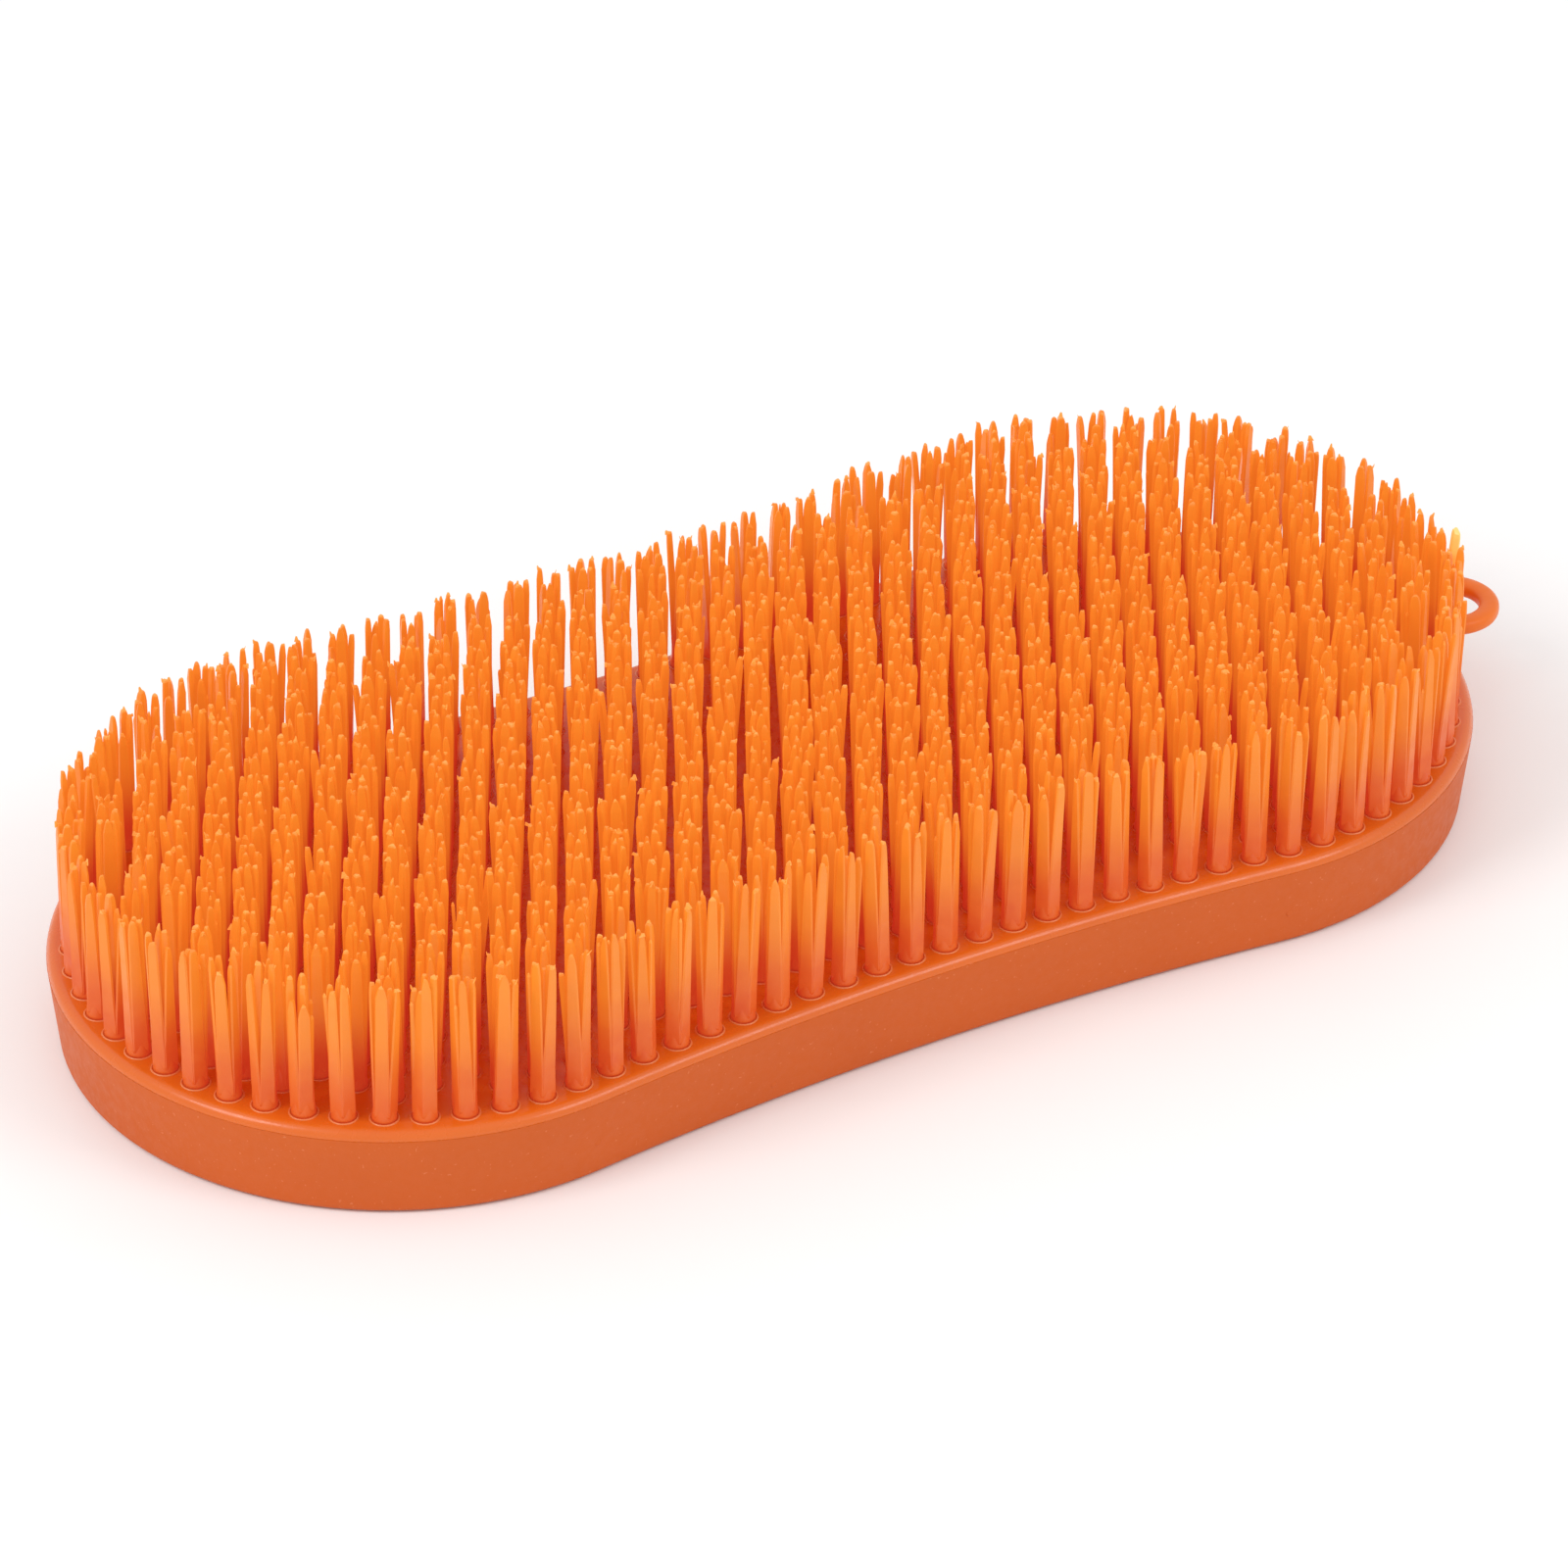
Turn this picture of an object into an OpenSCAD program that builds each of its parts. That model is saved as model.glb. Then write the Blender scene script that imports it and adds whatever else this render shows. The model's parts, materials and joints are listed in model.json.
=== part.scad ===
// Two-lobed grooming brush: a hollow back shell, a bristle deck, a hanging loop,
// and tufts that stand on the face of the deck, in a rim row and in lengthwise rows.
// Millimetres. The origin is the centre of the flat back face, +Z points along the tufts,
// and +X points along the brush towards the hanging loop.

/* [Body] */
// Length of the body, without the hanging loop
body_l = 180; // [164:1:200]
// Width of the body across each round end
body_w = 80; // [76:1:84]
// Width of the body at its waist
waist_w = 74; // [68:0.2:75]
// Height of the body, from the back face to the face of the deck
body_h = 11.4; // [10:0.2:16]
// How far the side wall leans in at the back face
wall_draft = 1; // [0.4:0.1:2]
// Radius of the rounded edge round the face of the deck
edge_r = 1.2; // [0.8:0.1:1.8]
// Radius of the rounded edge round the back face
back_edge_r = 0.8; // [0.4:0.1:1.5]
// How far the shell stands proud of the deck at the parting line
parting_step = 0.1; // [0.05:0.05:0.2]

/* [Back shell] */
// Thickness of the back
back_t = 2; // [1.5:0.1:3]
// Thickness of the side wall
wall_t = 2; // [1.6:0.1:2.2]
// Thickness of the stiffening ribs inside the shell
rib_t = 1.6; // [1:0.1:3]

/* [Deck] */
// Thickness of the bristle deck
deck_t = 3.2; // [2.8:0.1:4]
// Gap between the deck's locating step and the shell's wall
deck_gap = 0.15; // [0.05:0.05:0.3]

/* [Tufts] */
// Diameter of a tuft
tuft_d = 3; // [2.6:0.1:3.2]
// Height of a tuft above the face of the deck
tuft_h = 18.4; // [14:0.2:22]
// Distance between neighbouring tufts in a lengthwise row
tuft_pitch = 4.72; // [4.6:0.02:5]
// Distance from the edge of the body to the centres of the rim row
rim_inset = 3.2; // [3:0.1:3.6]
// Number of tufts in each quarter of the rim row
rim_quarter_count = 24; // [20:1:24]
// Height of the tapered tip of a tuft
tip_h = 0.8; // [0.3:0.1:1]

/* [Hanging loop] */
// Outer width of the loop
loop_w = 12; // [11:0.2:13]
// Width of the hole in the loop
eye_d = 7; // [6.4:0.2:7.6]
// Thickness of the loop
loop_t = 2; // [1.8:0.1:2.2]

/* [Hidden] */
$fn = 96;
tuft_fn = 24;
arc_steps = 6;
lobe_steps = 48;
hollow_steps = 12;
outline_count = 2 * (lobe_steps + hollow_steps);
overlap = 1;
lobe_r = body_w / 2;
lobe_x = body_l / 2 - lobe_r;
waist_r = waist_w / 2;
// Radius and centre of the hollow arc that joins the lobes at the waist
hollow_r = (lobe_x * lobe_x + waist_r * waist_r - lobe_r * lobe_r) / (2 * (lobe_r - waist_r));
hollow_y = waist_r + hollow_r;
// Angle at the hollow's centre from the waist to where it meets a lobe
hollow_a = atan2(lobe_x, hollow_y);
// Height of the joint between the shell and the deck
parting_z = body_h - edge_r;
deck_bottom = body_h - deck_t;
// Rim row: it follows the outline at rim_inset
rim_lobe_r = lobe_r - rim_inset;
rim_hollow_r = hollow_r + rim_inset;
rim_half_waist = rim_hollow_r * hollow_a * PI / 180;
rim_lobe_a = 90 + hollow_a;
rim_quarter = rim_half_waist + rim_lobe_r * rim_lobe_a * PI / 180;
rim_step = rim_quarter / rim_quarter_count;
rim_waist_count = floor(rim_half_waist / rim_step);
// Lengthwise rows: a triangular grid, kept where it is clear of the rim row
row_count = 17;
row_middle = (row_count + 1) / 2;
row_step = tuft_pitch * sqrt(3) / 2;
field_inset = rim_inset + 3.5;
row_reach = ceil(body_l / 2 / tuft_pitch);
tuft_tip_d = 0.7 * tuft_d;
// Ribs across the inside of the shell
rib_spacing = 25;
rib_count = 7;
rib_top = deck_bottom - 0.2;
// Hanging loop: a ring flush with the face of the deck, whose flat root is held at the parting line
eye_gap = 1.7;
loop_x = body_l / 2 + eye_gap + eye_d / 2;
loop_z = body_h - loop_t / 2;
loop_bar_w = (loop_w - eye_d) / 2;
loop_bar_round = loop_bar_w + 0.2;
root_w = 6;
root_t = 1.2;
root_inside = 1.4;
root_outside = 1;
pocket_gap = 0.05;

// Name of lengthwise row n
function row_name(n) = str("tuft_row_", n < 10 ? "0" : "", n);

// Depth of a point inside the outline, as its distance from the edge
function depth(x, y) =
    atan2(abs(x), hollow_y - abs(y)) <= hollow_a
        ? norm([x, hollow_y - abs(y)]) - hollow_r
        : lobe_r - norm([abs(x) - lobe_x, y]);

// Point of the rim row at arc length s from the waist, where x > 0 and y > 0
function rim_point(s) =
    s < rim_half_waist
        ? let (a = s / rim_hollow_r * 180 / PI)
          [rim_hollow_r * sin(a), hollow_y - rim_hollow_r * cos(a)]
        : let (a = rim_lobe_a - (s - rim_half_waist) / rim_lobe_r * 180 / PI)
          [lobe_x + rim_lobe_r * cos(a), rim_lobe_r * sin(a)];

// Tufts first to last of the rim row in each quarter that ends and sides name by their signs
function rim_points(first, last, ends, sides) = [
    for (end = ends, side = sides, i = [first : last])
        let (p = rim_point((i + 0.5) * rim_step))
        [end * p[0], side * p[1]]
];

// Tufts of lengthwise row n, counted from the front
function row_points(n) = [
    for (j = [-row_reach : row_reach])
        let (k = n - row_middle, x = (j + (k % 2 == 0 ? 0.5 : 0)) * tuft_pitch, y = k * row_step)
        if (depth(x, y) > field_inset) [x, y]
];

waist_points = [for (side = [-1, 1]) rim_points(0, rim_waist_count - 1, [-1, 1], [side])];
end_points = [for (end = [-1, 1]) rim_points(rim_waist_count, rim_quarter_count - 1, [end], [-1, 1])];

// Quarter-round edge as [inset, height] points, from the side at z1 up or down to the face at z2
function edge_points(r, z1, z2, inset) = [
    for (i = [0 : arc_steps])
        let (a = 90 * i / arc_steps)
        [inset + r * (1 - cos(a)), z1 + (z2 - z1) * sin(a)]
];

function reversed(list) = [for (i = [len(list) - 1 : -1 : 0]) list[i]];

// Arc about [x, y] from angle a1 up to, but without, angle a2
function arc(x, y, r, a1, a2, steps) = [
    for (i = [0 : steps - 1])
        let (a = a1 + (a2 - a1) * i / steps)
        [x + r * cos(a), y + r * sin(a)]
];

// The body's outline, set in from its edge
function outline(inset) = concat(
    arc(lobe_x, 0, lobe_r - inset, -90 - hollow_a, 90 + hollow_a, lobe_steps),
    arc(0, hollow_y, hollow_r + inset, hollow_a - 90, -90 - hollow_a, hollow_steps),
    arc(-lobe_x, 0, lobe_r - inset, 90 - hollow_a, 270 + hollow_a, lobe_steps),
    arc(0, -hollow_y, hollow_r + inset, 90 + hollow_a, 90 - hollow_a, hollow_steps)
);

// Index of the outline point across the brush from point i
function opposite(i) = (outline_count + lobe_steps - i) % outline_count;

// Solid with the body's outline, whose side follows [inset, height] points from its foot up.
// Its flat faces are strips of quads across the outline, from the loop end to the plain end.
module outline_solid(profile) {
    n = outline_count;
    tip = lobe_steps / 2;
    top = (len(profile) - 1) * n;
    strip = [for (i = [tip : tip + n / 2 - 1]) concat(
        [i, i + 1],
        i == tip + n / 2 - 1 ? [] : [opposite(i + 1)],
        i == tip ? [] : [opposite(i)]
    )];
    polyhedron(
        points = [for (p = profile, q = outline(p[0])) [q[0], q[1], p[1]]],
        faces = concat(
            strip,
            [for (face = strip) [for (i = reversed(face)) top + i]],
            [for (k = [0 : len(profile) - 2], i = [0 : n - 1])
                let (j = (i + 1) % n)
                [k * n + i, (k + 1) * n + i, (k + 1) * n + j, k * n + j]]
        )
    );
}

// Straight-sided solid with the body's outline, set in from its edge
module outline_prism(inset, z1, z2) {
    translate([0, 0, z1])
    linear_extrude(height = z2 - z1)
    polygon(outline(inset));
}

// Flat root of the hanging loop, or with a gap the room for it
module loop_root(gap) {
    translate([body_l / 2 - root_inside - gap, -root_w / 2 - gap, parting_z - root_t / 2 - gap])
    cube([root_inside + root_outside + 2 * gap, root_w + 2 * gap, root_t + 2 * gap]);
}

// Pocket in the wall and the deck for the ring and the root of the hanging loop
module loop_pocket() {
    translate([loop_x, 0, loop_z - loop_t / 2 - pocket_gap])
    cylinder(d = loop_w + 2 * pocket_gap, h = loop_t + 2 * pocket_gap);
    loop_root(pocket_gap);
}

module ribs() {
    for (i = [0 : rib_count - 1])
        translate([(i - (rib_count - 1) / 2) * rib_spacing - rib_t / 2, -lobe_r, 0])
        cube([rib_t, body_w, body_h]);
}

module back_shell() {
    wall_profile = concat(
        reversed(edge_points(back_edge_r, back_edge_r, 0, wall_draft)),
        [[0, parting_z]]
    );
    color("#d66a3c")
    difference() {
        outline_solid(wall_profile);
        outline_prism(wall_t, rib_top, parting_z + overlap);
        difference() {
            outline_prism(wall_t, back_t, rib_top + overlap);
            ribs();
        }
        loop_pocket();
    }
}

module bristle_deck() {
    color("#ee7323")
    difference() {
        union() {
            outline_solid(edge_points(edge_r, parting_z, body_h, parting_step));
            outline_prism(wall_t + deck_gap, deck_bottom, parting_z);
        }
        loop_pocket();
    }
}

module hanging_loop() {
    color("#e8722c")
    union() {
        translate([loop_x, 0, loop_z])
        rotate_extrude()
        translate([(loop_w + eye_d) / 4, 0])
        intersection() {
            circle(d = loop_bar_round);
            square([loop_bar_w, loop_t], center = true);
        }
        loop_root(0);
    }
}

// A group of tufts, one separate pin at each point
module tufts(points) {
    shaft_h = tuft_h - tip_h;
    color("#f58a2e")
    for (p = points)
        translate([p[0], p[1], body_h]) {
            cylinder(d = tuft_d, h = shaft_h, $fn = tuft_fn);
            translate([0, 0, shaft_h])
            cylinder(d1 = tuft_d, d2 = tuft_tip_d, h = tip_h, $fn = tuft_fn);
        }
}

back_shell();
bristle_deck();
hanging_loop();
tufts(waist_points[0]);  // rim_tufts_front
tufts(waist_points[1]);  // rim_tufts_back
tufts(end_points[0]);  // rim_tufts_plain_end
tufts(end_points[1]);  // rim_tufts_loop_end
for (n = [1 : row_count])
    tufts(row_points(n));
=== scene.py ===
import json
import math
import random

import bmesh
import bpy
from mathutils import Matrix, Vector


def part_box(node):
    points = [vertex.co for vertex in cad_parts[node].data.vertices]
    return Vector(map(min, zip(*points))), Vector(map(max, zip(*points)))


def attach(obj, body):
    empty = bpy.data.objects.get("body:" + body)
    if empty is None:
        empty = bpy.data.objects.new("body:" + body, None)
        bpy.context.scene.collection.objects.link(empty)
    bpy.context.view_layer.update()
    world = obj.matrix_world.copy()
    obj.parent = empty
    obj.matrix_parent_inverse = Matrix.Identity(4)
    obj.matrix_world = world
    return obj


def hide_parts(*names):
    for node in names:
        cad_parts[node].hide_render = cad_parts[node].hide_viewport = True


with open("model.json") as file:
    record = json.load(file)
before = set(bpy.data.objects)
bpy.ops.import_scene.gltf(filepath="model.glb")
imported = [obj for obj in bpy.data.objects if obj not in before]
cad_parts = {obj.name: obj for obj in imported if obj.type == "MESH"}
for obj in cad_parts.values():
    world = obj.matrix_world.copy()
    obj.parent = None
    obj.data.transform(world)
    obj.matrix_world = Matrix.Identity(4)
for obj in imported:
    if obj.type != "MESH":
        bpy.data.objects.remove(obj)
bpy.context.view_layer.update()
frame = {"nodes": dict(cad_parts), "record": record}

# Lengths below are in millimetres in the frame's axes. Shape.build turns them into metres.
MM = 0.001


def box_mm(node):
    """Lowest and highest corner of a CAD node, in millimetres."""
    low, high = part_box(node)
    return low / MM, high / MM


shell_low, shell_high = box_mm("back_shell")
deck_low, deck_high = box_mm("bristle_deck")
loop_low, loop_high = box_mm("hanging_loop")
tuft_nodes = sorted(name for name in frame["nodes"] if "tuft" in name)

# Body
lobe_r = (shell_high.y - shell_low.y) / 2
lobe_x = (shell_high.x - shell_low.x) / 2 - lobe_r
waist_r = 37
hollow_r = (lobe_x**2 + waist_r**2 - lobe_r**2) / (2 * (lobe_r - waist_r))
hollow_y = waist_r + hollow_r
hollow_a = math.atan2(lobe_x, hollow_y)
parting_z = shell_high.z
face_z = deck_high.z
wall_draft = 1
back_edge_r = 0.8
edge_r = face_z - parting_z
deck_step = 0.03
deck_gap = 0.15
wall_t = 2
floor_t = 2
lip_r = 0.05
mouth_bevel = 0.1
corner_bevel = 0.5
wall_steps = 4
lobe_steps = 110
hollow_steps = 28

# The raised ring round the foot of each tuft, with a painted highlight
collar_gap = 0.12
collar_w = 0.3
collar_h = 0.1
collar_sunk = 0.1
# How much paler the collar is painted: a painted highlight on its glossy crest
collar_painted_highlight = 0.3

# Tufts. A foot station is a height and a share of the pin's radius.
prong_count = 5
foot_sides = 20
foot_stations = ((0.0, 0.95), (0.35, 0.94), (1.6, 0.82), (4.0, 0.68))
pale_tip_node = "rim_tufts_loop_end"
pale_tip_angle = math.radians(-20)
first_seed = 100

# What differs at random from tuft to tuft: where slits start, and how far a tuft leans per mm
slit_starts = (1.0, 4.5)
lean_spread = 0.011

# What differs at random from prong to prong: how much it is shorter than the tuft, how far it
# splays outwards per mm, how far its tip bends, how wide the tip is and how pale its cap is painted, for
# whitening and a painted highlight
short_spread, short_most = 1.25, 3.6
splay_mean, splay_spread, splay_least, splay_most = 0.013, 0.021, -0.02, 0.07
bend_spread = 0.15
blunt_power = 1.4
tip_widths = (0.72, 1.3)
tip_wear_and_highlight = (0.0, 0.06, 0.2)
sliver_share = 0.16
burr_share = 0.3

# Ribs inside the shell, and ejector marks on its front wall
rib_count = 7
rib_spacing = 25
rib_t = 1.6
rib_sunk = 0.3
rib_clearance = 0.2
mark_r = 0.42
mark_sunk = 0.2
mark_proud = 0.06
mark_places = ((-46, 4.5), (-22, 2.6), (46, 4.3))


class Shape:
    """Points and faces, in millimetres, that become one mesh object."""

    def __init__(self):
        self.points = []
        self.faces = []
        self.smooth = []
        self.tone = []
        self.wear_and_highlight = []

    def face(self, corners, smooth, tone, wear_and_highlight):
        self.faces.append(corners)
        self.smooth.append(smooth)
        self.tone.append(tone)
        self.wear_and_highlight.append(wear_and_highlight)

    def loft(self, rings, smooth=True, tone=0.5, wear_and_highlight=(0.0, 0.0), pale_end_bands=1, loop=False):
        """Joins rings of equally many points, and caps both ends unless they form a loop.

        The last pale_end_bands bands and the end cap take the second paleness value, the rest the first.
        Paleness stands for whitening of the plastic and for painted highlight.
        """
        start = len(self.points)
        count = len(rings[0])
        for ring in rings:
            self.points.extend(ring)
        bands = len(rings) if loop else len(rings) - 1
        for k in range(bands):
            a = start + k * count
            b = start + (k + 1) % len(rings) * count
            shade = wear_and_highlight[1] if k >= bands - pale_end_bands else wear_and_highlight[0]
            for i in range(count):
                j = (i + 1) % count
                self.face((a + i, a + j, b + j, b + i), smooth, tone, shade)
        if not loop:
            top = start + bands * count
            self.face(tuple(range(start + count - 1, start - 1, -1)), False, tone, wear_and_highlight[0])
            self.face(tuple(range(top, top + count)), False, tone, wear_and_highlight[1])

    def build(self, name, material):
        """One object of this shape, in metres, faces outwards, that rides on the brush."""
        mesh = bpy.data.meshes.new(name)
        mesh.from_pydata([[c * MM for c in p] for p in self.points], [], self.faces)
        mesh.polygons.foreach_set("use_smooth", self.smooth)
        for attribute, values in (("tone", self.tone), ("wear_and_highlight", self.wear_and_highlight)):
            mesh.attributes.new(attribute, "FLOAT", "FACE").data.foreach_set("value", values)
        outward = bmesh.new()
        outward.from_mesh(mesh)
        bmesh.ops.recalc_face_normals(outward, faces=outward.faces)
        outward.to_mesh(mesh)
        outward.free()
        mesh.update()
        mesh.materials.append(material)
        piece = bpy.data.objects.new(name, mesh)
        bpy.context.scene.collection.objects.link(piece)
        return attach(piece, "root")


# ---------------------------------------------------------------- camera, lights and floor

def look_from(azimuth, elevation, roll):
    """Camera axes for a view from azimuth, round from the front, and elevation, in degrees."""
    a, e = math.radians(azimuth), math.radians(elevation)
    back = Vector((math.sin(a) * math.cos(e), -math.cos(a) * math.cos(e), math.sin(e)))
    right = Vector((math.cos(a), math.sin(a), 0))
    turn = Matrix.Rotation(math.radians(roll), 3, back)
    right = turn @ right
    return right, back.cross(right), back


def add_camera():
    """A long lens from the photo's side, with everything in focus."""
    view_azimuth, view_elevation, view_roll = -30.72, 32.7, 0.32
    aim = Vector((0.0001, -0.0015, 0.016))
    distance = 0.91
    camera = bpy.data.objects.new("camera", bpy.data.cameras.new("camera"))
    camera.data.sensor_width = 36
    camera.data.lens = 180
    camera.data.clip_start = 0.01
    right, up, back = look_from(view_azimuth, view_elevation, view_roll)
    axes = Matrix((right, up, back)).transposed()
    camera.matrix_world = Matrix.Translation(aim + distance * back) @ axes.to_4x4()
    bpy.context.scene.collection.objects.link(camera)
    bpy.context.scene.camera = camera


def add_softbox(name, azimuth, elevation, power):
    """A round soft light that points at the brush."""
    distance, size = 1.2, 0.5
    lamp = bpy.data.objects.new(name, bpy.data.lights.new(name, "AREA"))
    lamp.data.shape = "DISK"
    lamp.data.size = size
    lamp.data.energy = power
    right, up, back = look_from(azimuth, elevation, 0)
    axes = Matrix((right, up, back)).transposed()
    lamp.matrix_world = Matrix.Translation(distance * back) @ axes.to_4x4()
    bpy.context.scene.collection.objects.link(lamp)


def add_world():
    """Even white light from all round."""
    world = bpy.data.worlds.new("studio")
    bpy.context.scene.world = world
    world.use_nodes = True
    background = world.node_tree.nodes["Background"]
    background.inputs["Color"].default_value = (1, 1, 1, 1)
    background.inputs["Strength"].default_value = 0.85


def add_floor():
    """A plain pale floor just under the back of the brush."""
    material = bpy.data.materials.new("pale_floor")
    material.use_nodes = True
    shader = material.node_tree.nodes["Principled BSDF"]
    shader.inputs["Base Color"].default_value = (0.95, 0.95, 0.95, 1)
    shader.inputs["Roughness"].default_value = 0.9
    shader.inputs["Specular IOR Level"].default_value = 0.1
    half, gap = 3, 0.0001
    corners = [(-half, -half, 0), (half, -half, 0), (half, half, 0), (-half, half, 0)]
    mesh = bpy.data.meshes.new("floor")
    mesh.from_pydata(corners, [], [(0, 1, 2, 3)])
    mesh.materials.append(material)
    floor = bpy.data.objects.new("floor", mesh)
    floor.location.z = shell_low.z * MM - gap
    bpy.context.scene.collection.objects.link(floor)


# ---------------------------------------------------------------- materials

class Nodes:
    """Short forms for the nodes of one material."""

    def __init__(self, name):
        self.material = bpy.data.materials.new(name)
        self.material.use_nodes = True
        self.tree = self.material.node_tree
        self.shader = self.tree.nodes["Principled BSDF"]

    def node(self, kind, **values):
        made = self.tree.nodes.new(kind)
        for key, value in values.items():
            setattr(made, key, value)
        return made

    def link(self, output, target):
        self.tree.links.new(output, target)

    def position(self):
        return self.node("ShaderNodeNewGeometry").outputs["Position"]

    def noise(self, per_mm, detail=2.0):
        made = self.node("ShaderNodeTexNoise")
        made.inputs["Scale"].default_value = per_mm / MM
        made.inputs["Detail"].default_value = detail
        self.link(self.position(), made.inputs["Vector"])
        return made.outputs["Fac"]

    def attribute(self, name):
        return self.node("ShaderNodeAttribute", attribute_name=name).outputs["Fac"]

    def height(self, low, high):
        """0 at height low and 1 at height high, in millimetres."""
        split = self.node("ShaderNodeSeparateXYZ")
        self.link(self.position(), split.inputs[0])
        return self.spread(split.outputs["Z"], low * MM, high * MM, 0.0, 1.0)

    def spread(self, value, low, high, out_low, out_high):
        """value from low to high becomes out_low to out_high."""
        made = self.node("ShaderNodeMapRange", interpolation_type="SMOOTHSTEP")
        ends = {"From Min": low, "From Max": high, "To Min": out_low, "To Max": out_high}
        for key, number in ends.items():
            made.inputs[key].default_value = number
        self.link(value, made.inputs["Value"])
        return made.outputs["Result"]

    def blend(self, factor, first, second):
        """A colour from first to second, each a colour or a socket."""
        made = self.node("ShaderNodeMix", data_type="RGBA")
        self.link(factor, made.inputs["Factor"])
        first_colour, second_colour, colour_result = 6, 7, 2
        for key, colour in ((first_colour, first), (second_colour, second)):
            if isinstance(colour, tuple):
                made.inputs[key].default_value = (*colour, 1)
            else:
                self.link(colour, made.inputs[key])
        return made.outputs[colour_result]

    def bump(self, value, depth_mm):
        made = self.node("ShaderNodeBump")
        made.inputs["Distance"].default_value = depth_mm * MM
        self.link(value, made.inputs["Height"])
        self.link(made.outputs["Normal"], self.shader.inputs["Normal"])

    def colour(self, socket):
        self.link(socket, self.shader.inputs["Base Color"])

    def roughness(self, socket):
        self.link(socket, self.shader.inputs["Roughness"])


def shell_material():
    """Matte moulded plastic with fine pale specks."""
    n = Nodes("matte_shell_plastic")
    patches = n.blend(n.noise(0.06), (0.58, 0.097, 0.007), (0.65, 0.116, 0.009))
    specks = n.spread(n.noise(2.2, 1.0), 0.70, 0.78, 0.0, 0.5)
    n.colour(n.blend(specks, patches, (0.75, 0.24, 0.10)))
    n.roughness(n.spread(n.noise(0.9), 0.3, 0.7, 0.46, 0.60))
    n.bump(n.noise(3.0, 3.0), 0.03)
    n.shader.inputs["Specular IOR Level"].default_value = 0.36
    return n.material


def deck_material():
    """Glossier moulded plastic of the deck and its rounded edge, with a painted highlight on the collars.
    """
    n = Nodes("gloss_deck_plastic")
    patches = n.blend(n.noise(0.08), (0.68, 0.120, 0.007), (0.76, 0.148, 0.010))
    # Collars are painted paler: a painted highlight on their glossy crest
    n.colour(n.blend(n.attribute("wear_and_highlight"), patches, (0.95, 0.45, 0.24)))
    n.roughness(n.spread(n.noise(0.5), 0.3, 0.7, 0.20, 0.30))
    n.bump(n.noise(1.2, 3.0), 0.015)
    return n.material


def loop_material():
    """Satin moulded plastic of the hanging loop."""
    n = Nodes("satin_loop_plastic")
    n.colour(n.blend(n.noise(0.3), (0.82, 0.162, 0.008), (0.90, 0.190, 0.010)))
    n.roughness(n.spread(n.noise(0.8), 0.3, 0.7, 0.34, 0.46))
    n.bump(n.noise(2.0, 3.0), 0.02)
    n.shader.inputs["Specular IOR Level"].default_value = 0.36
    return n.material


def tuft_material():
    """Moulded tuft plastic, its colour deeper and redder at the foot, a painted shade, and lighter and
    yellower at the tips, a painted light.

    Its own emission is a painted light, brighter higher up, that stands for the light that scatters through
    the real, slightly translucent prongs.
    """
    n = Nodes("translucent_tuft_plastic_painted_glow")
    # Painted shade and light: colours darker at the foot and lighter higher up, blended by height; tone
    # differs at random per tuft
    low = n.blend(n.attribute("tone"), (0.53, 0.088, 0.007), (0.58, 0.118, 0.009))
    high = n.blend(n.attribute("tone"), (0.59, 0.142, 0.011), (0.63, 0.195, 0.017))
    up = n.height(face_z + 5, face_z + 18)
    shade = n.blend(up, low, high)
    streak = n.spread(n.noise(0.35), 0.35, 0.65, 0.0, 0.5)
    streaks = n.blend(streak, shade, (0.60, 0.142, 0.011))
    # Tip caps, slivers and burrs are painted paler: partly whitening of the torn plastic, partly a painted
    # highlight on their edges
    n.colour(n.blend(n.attribute("wear_and_highlight"), streaks, (0.95, 0.62, 0.20)))
    n.roughness(n.spread(n.noise(0.6), 0.3, 0.7, 0.30, 0.44))
    n.bump(n.noise(1.5, 3.0), 0.02)
    # Painted light: an emission, brighter higher up, stands for light scattered through the prongs and
    # lifts their shaded gaps
    painted_glow = n.blend(n.height(face_z + 2, face_z + 12), (0.22, 0.017, 0.008), (0.34, 0.114, 0.011))
    n.link(painted_glow, n.shader.inputs["Emission Color"])
    n.shader.inputs["Emission Strength"].default_value = 1.0
    n.shader.inputs["Specular IOR Level"].default_value = 0.4
    return n.material


# ---------------------------------------------------------------- body

def arc(x, y, r, start, end, steps):
    """Points of an arc from angle start up to, but without, angle end."""
    angles = [start + (end - start) * i / steps for i in range(steps)]
    return [(x + r * math.cos(a), y + r * math.sin(a)) for a in angles]


def outline(inset, z):
    """The body's outline at height z, set in from its edge: two round lobes and two hollow arcs."""
    quarter = math.pi / 2
    bow = hollow_a
    round_r, bow_r = lobe_r - inset, hollow_r + inset
    points = (
        arc(lobe_x, 0, round_r, -quarter - bow, quarter + bow, lobe_steps)
        + arc(0, hollow_y, bow_r, bow - quarter, -quarter - bow, hollow_steps)
        + arc(-lobe_x, 0, round_r, quarter - bow, 3 * quarter + bow, lobe_steps)
        + arc(0, -hollow_y, bow_r, quarter + bow, quarter - bow, hollow_steps)
    )
    return [(x, y, z) for x, y in points]


def quarter_round(r, inset, side_z, face_height, steps=8):
    """Profile points [inset, z] of a rounded edge, from the side to the face."""
    points = []
    for i in range(steps + 1):
        a = math.pi / 2 * i / steps
        points.append((inset + r * (1 - math.cos(a)), side_z + (face_height - side_z) * math.sin(a)))
    return points


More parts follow.
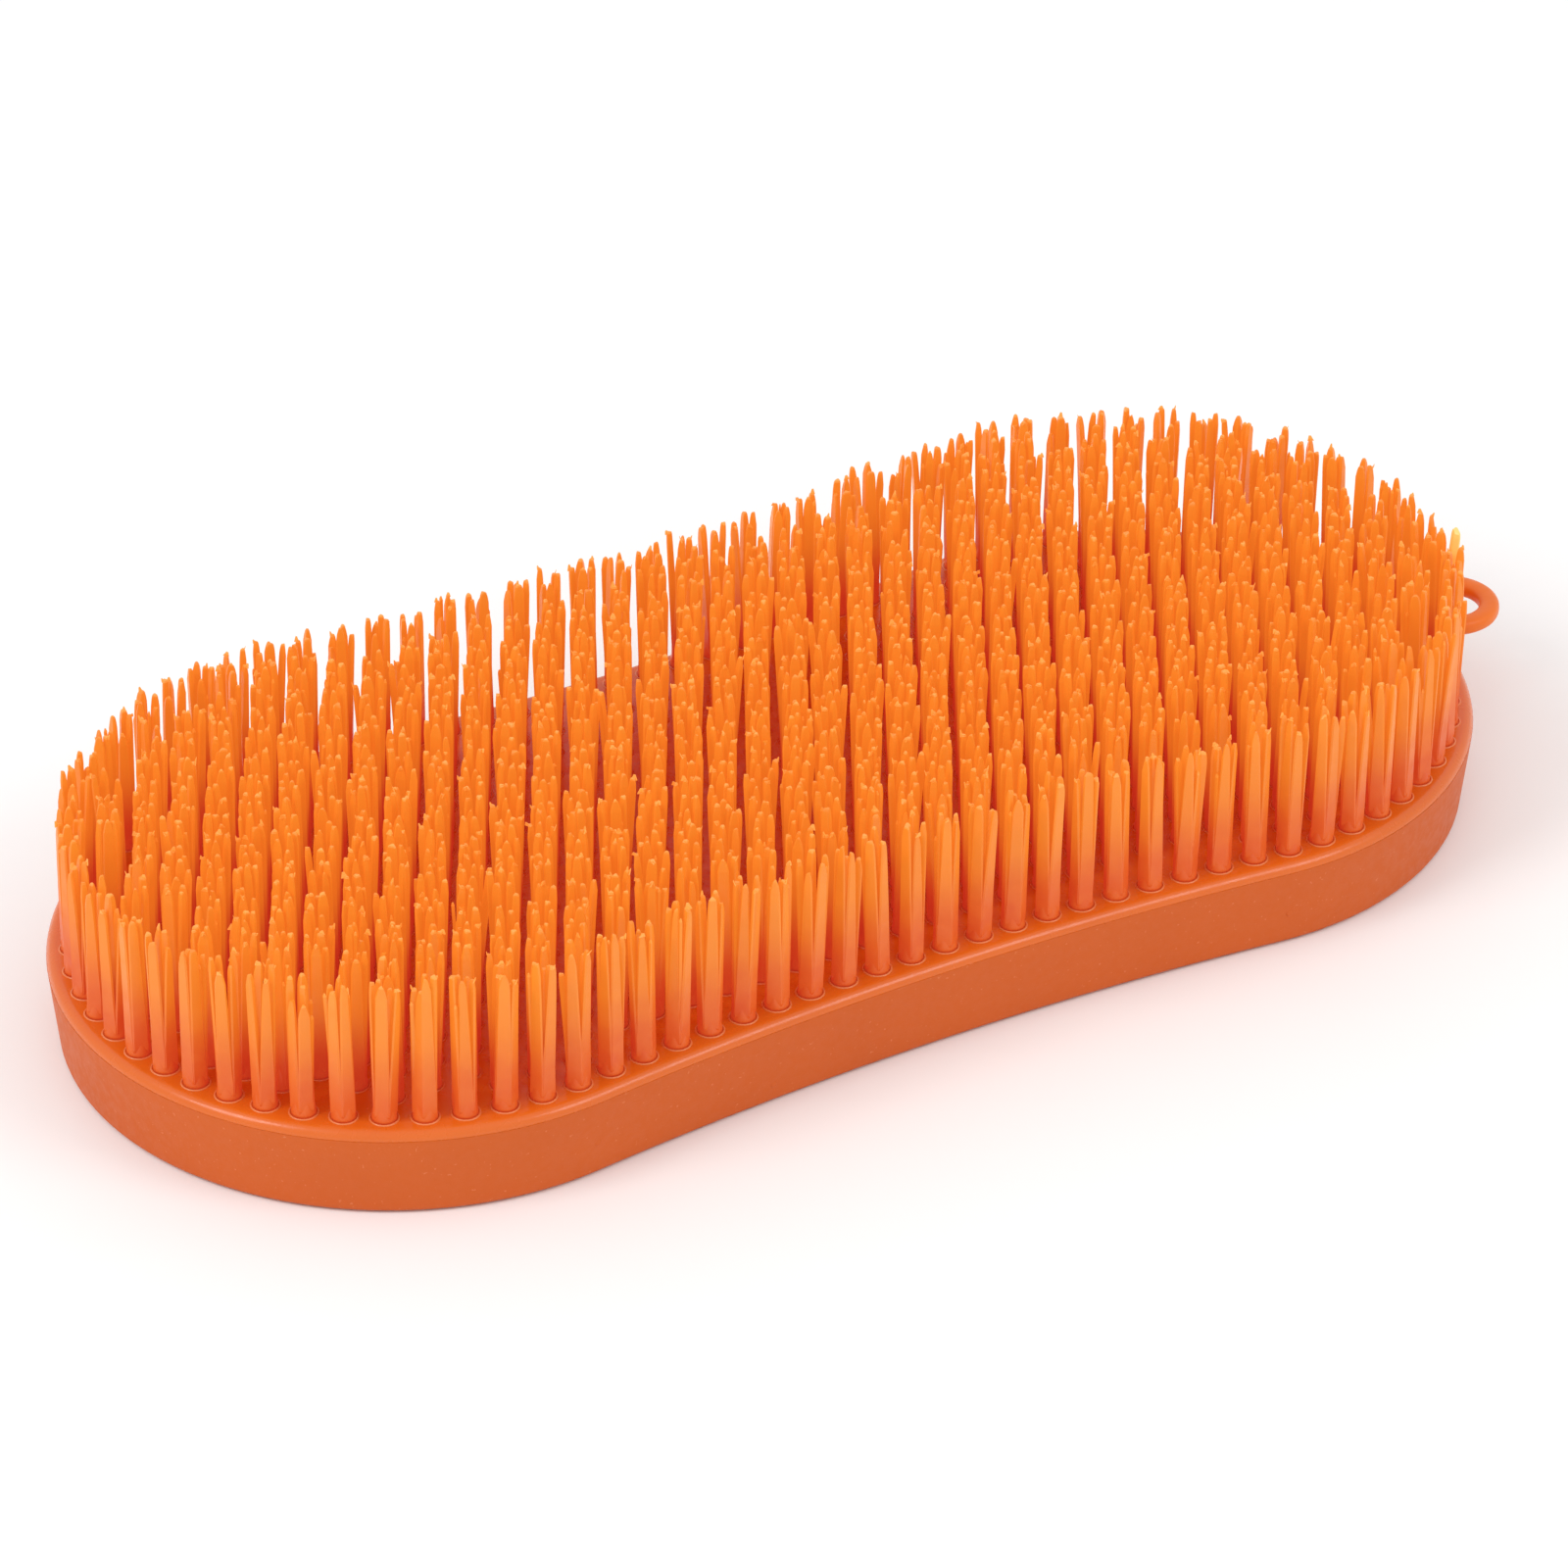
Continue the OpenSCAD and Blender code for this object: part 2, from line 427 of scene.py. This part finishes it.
def back_shell():
    """A tray: rounded back edge, drafted wall, small lip at the parting line, and the hollow inside."""
    shape = Shape()
    edge = quarter_round(back_edge_r, wall_draft, back_edge_r, 0)
    wall_h = parting_z - lip_r - back_edge_r
    wall = []
    for s in range(1, wall_steps + 1):
        wall.append((wall_draft * (1 - s / wall_steps), back_edge_r + wall_h * s / wall_steps))
    lip = quarter_round(lip_r, 0, parting_z - lip_r, parting_z, 4)[1:]
    inside = [
        (wall_t - mouth_bevel, parting_z), (wall_t, parting_z - mouth_bevel),
        (wall_t, floor_t + corner_bevel), (wall_t + corner_bevel, floor_t),
    ]
    shape.loft([outline(inset, z) for inset, z in edge[::-1] + wall + lip + inside])
    for i in range(rib_count):
        rib(shape, (i - (rib_count - 1) / 2) * rib_spacing)
    for x, z in mark_places:
        ejector_mark(shape, x, z)
    piece = shape.build("back_shell_skin", shell_material())
    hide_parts("back_shell")


def half_width(x, inset):
    """Half the body's width at x, set in from its edge."""
    if abs(x) < hollow_r * math.sin(hollow_a):
        return hollow_y - math.sqrt((hollow_r + inset)**2 - x**2)
    return math.sqrt((lobe_r - inset)**2 - (abs(x) - lobe_x)**2)


def rib(shape, x):
    """A stiffening rib across the inside of the shell."""
    y = half_width(x, wall_t - rib_sunk)
    left, right = x - rib_t / 2, x + rib_t / 2
    rings = []
    for z in (floor_t - rib_sunk, deck_low.z - rib_clearance):
        rings.append([(left, -y, z), (right, -y, z), (right, y, z), (left, y, z)])
    shape.loft(rings, smooth=False)


def ejector_mark(shape, x, z):
    """A faint round mark that stands just proud of the front wall."""
    lean_in = wall_draft * (1 - (z - back_edge_r) / (parting_z - lip_r - back_edge_r))
    y = -half_width(x, lean_in)
    rings = []
    for r, proud in ((mark_r, -mark_sunk), (mark_r, 0.0), (0.8 * mark_r, mark_proud)):
        ring = []
        for i in range(foot_sides):
            a = 2 * math.pi * i / foot_sides
            ring.append((x + r * math.cos(a), y - proud, z + r * math.sin(a)))
        rings.append(ring)
    shape.loft(rings)


def bristle_deck(places):
    """The plate with its rounded edge, and a thin raised ring round each tuft."""
    shape = Shape()
    step = [(wall_t + deck_gap, deck_low.z), (wall_t + deck_gap, parting_z)]
    edge = quarter_round(edge_r, deck_step, parting_z, face_z, 10)
    shape.loft([outline(inset, z) for inset, z in step + edge])
    for place in places:
        collar(shape, place)
    piece = shape.build("bristle_deck_skin", deck_material())
    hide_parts("bristle_deck")


def collar(shape, place):
    """A thin raised ring on the deck round the foot of the tuft at place, painted paler as a painted
    highlight.
    """
    x, y, _, _, pin_r = place
    collar_r = pin_r + collar_gap
    foot_z, shoulder_z, crest_z = face_z - collar_sunk, face_z + 0.7 * collar_h, face_z + collar_h
    section = [
        (collar_r + collar_w / 2, foot_z), (collar_r + collar_w / 3, shoulder_z), (collar_r, crest_z),
        (collar_r - collar_w / 3, shoulder_z), (collar_r - collar_w / 2, foot_z),
    ]
    rings = []
    for i in range(foot_sides):
        a = 2 * math.pi * i / foot_sides
        rings.append([(x + r * math.cos(a), y + r * math.sin(a), z) for r, z in section])
    # The collar is painted paler all over: a painted highlight
    shape.loft(rings, wear_and_highlight=(collar_painted_highlight, collar_painted_highlight), loop=True)


def hanging_loop():
    """A ring with a rounded, slightly square section, that runs into the body."""
    steps, sides, squareness = 72, 20, 0.75
    ring_x = loop_high.x - loop_high.y
    ring_z = (loop_low.z + loop_high.z) / 2
    thick = loop_high.z - loop_low.z
    outer = loop_high.y
    mounts = frame["record"]["mounts"]
    inner = next(mount["dims"]["r_mm"] for mount in mounts if mount["name"] == "hang_eye")
    bar_w = outer - inner
    middle = (outer + inner) / 2
    rings = []
    for i in range(steps):
        a = 2 * math.pi * i / steps
        ring = []
        for j in range(sides):
            b = -2 * math.pi * j / sides
            across = math.copysign(abs(math.cos(b))**squareness, math.cos(b)) * bar_w / 2
            up = math.copysign(abs(math.sin(b))**squareness, math.sin(b)) * thick / 2
            r = middle + across
            ring.append((ring_x + r * math.cos(a), r * math.sin(a), ring_z + up))
        rings.append(ring)
    shape = Shape()
    shape.loft(rings, loop=True)
    piece = shape.build("hanging_loop_ring", loop_material())
    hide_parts("hanging_loop")


# ---------------------------------------------------------------- tufts

def pins(node):
    """The pins of a CAD node, as (x, y, foot z, tip z, radius) in millimetres, in order along the brush."""
    mesh = bmesh.new()
    mesh.from_mesh(frame["nodes"][node].data)
    bmesh.ops.remove_doubles(mesh, verts=mesh.verts, dist=1e-6)
    seen, found = set(), []
    for start in mesh.verts:
        if start in seen:
            continue
        seen.add(start)
        island = [start]
        for vert in island:
            for edge in vert.link_edges:
                other = edge.other_vert(vert)
                if other not in seen:
                    seen.add(other)
                    island.append(other)
        spans = [[f(v.co[axis] for v in island) / MM for f in (min, max)] for axis in range(3)]
        x, y = sum(spans[0]) / 2, sum(spans[1]) / 2
        found.append((x, y, spans[2][0], spans[2][1], (spans[0][1] - spans[0][0]) / 2))
    mesh.free()
    return sorted(found)


def foot(shape, pin, tone):
    """The round lower end of a pin, which narrows inside its prongs."""
    x, y, z, _, r = pin
    rings = []
    for up, share in foot_stations:
        ring = []
        for i in range(foot_sides):
            a = 2 * math.pi * i / foot_sides
            ring.append((x + share * r * math.cos(a), y + share * r * math.sin(a), z + up))
        rings.append(ring)
    shape.loft(rings, tone=tone)


def prong(shape, pin, angle, slits, top, lean, splay, bend, blunt, tip_w, tone, wear_and_highlight, pale_end_bands=1):
    """A tapered tongue that meets its neighbours up to where the slits at its two sides start."""
    x, y, z, _, r = pin
    out_x, out_y = math.cos(angle), math.sin(angle)
    low, high = min(slits), max(slits)
    # Heights above the foot, each with a share of the full section
    stations = [
        (0.0, 0.86), (0.9, 1.0), (low, 1.0), (high, 1.0), (0.45 * top, 1.0), (0.75 * top, 1.0),
        (top - 1.5, 1.0), (top - 0.7, 0.96 - 0.22 * (1 - blunt)), (top - 0.2, 0.86 - 0.40 * (1 - blunt)),
        (top, 0.64 - 0.42 * (1 - blunt)),
    ]
    flat = 0.82 * r
    full = flat * math.tan(math.pi / prong_count)
    joined, parted = 1.03 * full, 0.95 * full
    rings = []
    for up, taper in stations:
        share = up / top
        deep = (0.72 - 0.24 * share) * r * (0.35 + 0.65 * taper)
        outer = flat - (1 - taper) * (0.9 * r if up == 0 else 0.5 * deep)
        outer += splay * max(0.0, up - low) + bend * share**2
        halves = []
        for slit in slits:
            open_share = (max(0.0, up - slit) / (top - slit))**1.4
            half = joined if up <= slit else parted + (tip_w / 2 - parted) * open_share
            halves.append(half * taper)
        right, left = halves
        bevel = min(0.13, 0.3 * right)
        inner_right, inner_left = (max(0.08, half - 0.62 * deep) for half in (right, left))
        section = [
            (-left + bevel, outer), (-left, outer - 1.4 * bevel), (-inner_left, outer - deep),
            (inner_right, outer - deep), (right, outer - 1.4 * bevel), (right - bevel, outer),
        ]
        px, py = x + lean[0] * up, y + lean[1] * up
        rings.append([
            (px + q * out_x - t * out_y, py + q * out_y + t * out_x, z + up) for t, q in section
        ])
    # The tip cap is painted paler: whitening of the cut plastic and a painted highlight on its edges
    shape.loft(rings, smooth=False, tone=tone, wear_and_highlight=(0.0, wear_and_highlight), pale_end_bands=pale_end_bands)


def sliver(shape, pin, angle, low, top, lean, rng):
    """A thin strip torn off between two prongs. wide and thick are half its width and thickness."""
    x, y, z, _, r = pin
    out_x, out_y = math.cos(angle), math.sin(angle)
    wide, thick = rng.uniform(0.12, 0.2), 0.2
    splay = rng.uniform(0.0, 0.05)
    rings = []
    for up, taper in ((low, 1.0), (0.5 * top, 1.0), (top - 0.4, 0.9), (top, 0.4)):
        q = 0.68 * r + splay * (up - low)
        px, py = x + lean[0] * up, y + lean[1] * up
        corners = [(-wide, thick), (-wide, -thick), (wide, -thick), (wide, thick)]
        ring = []
        for a, b in corners:
            out, along = q + taper * b, taper * a
            ring.append((px + out * out_x - along * out_y, py + out * out_y + along * out_x, z + up))
        rings.append(ring)
    # The sliver's tip is painted paler: whitening and a painted highlight
    shape.loft(rings, smooth=False, tone=0.7, wear_and_highlight=(0.0, 0.15))


def burr(shape, pin, angle, radius, top, lean, rng):
    """A small torn flake at the tip of a prong. wide and thick are half its width and thickness."""
    x, y, z, tip_z, _ = pin
    turn = angle + rng.uniform(-1.2, 1.2)
    px = x + lean[0] * top + radius * math.cos(angle)
    py = y + lean[1] * top + radius * math.sin(angle)
    wide, thick, tall = rng.uniform(0.18, 0.42), 0.07, rng.uniform(0.15, 0.45)
    side = (-math.sin(turn) * wide, math.cos(turn) * wide)
    out = (math.cos(turn) * thick, math.sin(turn) * thick)
    base_z = z + top - 0.25
    base = [
        (px - side[0] - out[0], py - side[1] - out[1], base_z),
        (px + side[0] - out[0], py + side[1] - out[1], base_z),
        (px + side[0] + out[0], py + side[1] + out[1], base_z),
        (px - side[0] + out[0], py - side[1] + out[1], base_z),
    ]
    drift = rng.uniform(-0.5, 0.5)
    crest = [(
        px + (p[0] - px) * 0.35 + side[0] * drift + 2.5 * out[0],
        py + (p[1] - py) * 0.35 + side[1] * drift + 2.5 * out[1],
        min(z + top + tall, tip_z),
    ) for p in base]
    # The flake is painted paler: whitening of the torn plastic and a painted highlight
    shape.loft([base, crest], smooth=False, tone=0.8, wear_and_highlight=(0.15, 0.3))


def tuft(shape, pin, rng, pale=False):
    """One pin: a foot that opens into prongs, with a thin sliver or a burr here and there.

    A pale tuft has one broad, unsplit prong with a pale tip, on its outer side.
    """
    _, _, foot_z, tip_z, r = pin
    height = tip_z - foot_z
    turn = pale_tip_angle if pale else rng.uniform(0, 2 * math.pi)
    slits = [rng.uniform(*slit_starts) for _ in range(prong_count)]
    lean = (rng.gauss(0, lean_spread), rng.gauss(0, lean_spread))
    tone = rng.random()
    foot(shape, pin, tone)
    step = 2 * math.pi / prong_count
    for k in range(prong_count):
        angle = turn + k * step
        sides = (slits[k], slits[k - 1])
        top = height - min(short_most, abs(rng.gauss(0, short_spread)))
        splay = min(splay_most, max(splay_least, rng.gauss(splay_mean, splay_spread)))
        bend = rng.gauss(0.0, bend_spread)
        blunt = rng.random()**blunt_power
        tip_w = rng.uniform(*tip_widths)
        # How pale the tip cap is painted: whitening and a painted highlight
        wear_and_highlight = rng.choice(tip_wear_and_highlight)
        shade = 0.5 * tone + 0.5 * rng.random()
        if pale and k == 0:
            top, splay, bend, blunt, tip_w, wear_and_highlight = height, 0.05, 0.2, 1.0, 2.1, 0.9
            prong(shape, pin, angle, sides, top, lean, splay, bend, blunt, tip_w, shade, wear_and_highlight, pale_end_bands=4)
            continue
        prong(shape, pin, angle, sides, top, lean, splay, bend, blunt, tip_w, shade, wear_and_highlight)
        if rng.random() < sliver_share:
            sliver(shape, pin, angle + step / 2, slits[k] - 0.5, top - rng.uniform(0.2, 4.0), lean, rng)
        if rng.random() < burr_share:
            radius = 0.75 * r + splay * (top - 3) + bend
            burr(shape, pin, angle, radius, top, lean, rng)


def tufts(material):
    """One piece for each CAD node of tufts. Returns all the pins."""
    places = []
    pale_place = Vector((
        lobe_x + lobe_r * math.cos(pale_tip_angle), lobe_r * math.sin(pale_tip_angle),
    ))
    for number, node in enumerate(tuft_nodes):
        rng = random.Random(first_seed + number)
        shape = Shape()
        found = pins(node)
        nearest = min(found, key=lambda pin: (Vector(pin[:2]) - pale_place).length)
        for pin in found:
            tuft(shape, pin, rng, pale=(node == pale_tip_node and pin is nearest))
            places.append(pin)
        piece = shape.build("split_" + node, material)
        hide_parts(node)
    return places


bpy.context.scene.view_settings.view_transform = "Standard"
add_camera()
add_world()
add_softbox("left_light", -90, 45, 3.8)
add_softbox("right_light", 35, 42, 2.2)
add_floor()
places = tufts(tuft_material())
bristle_deck(places)
back_shell()
hanging_loop()
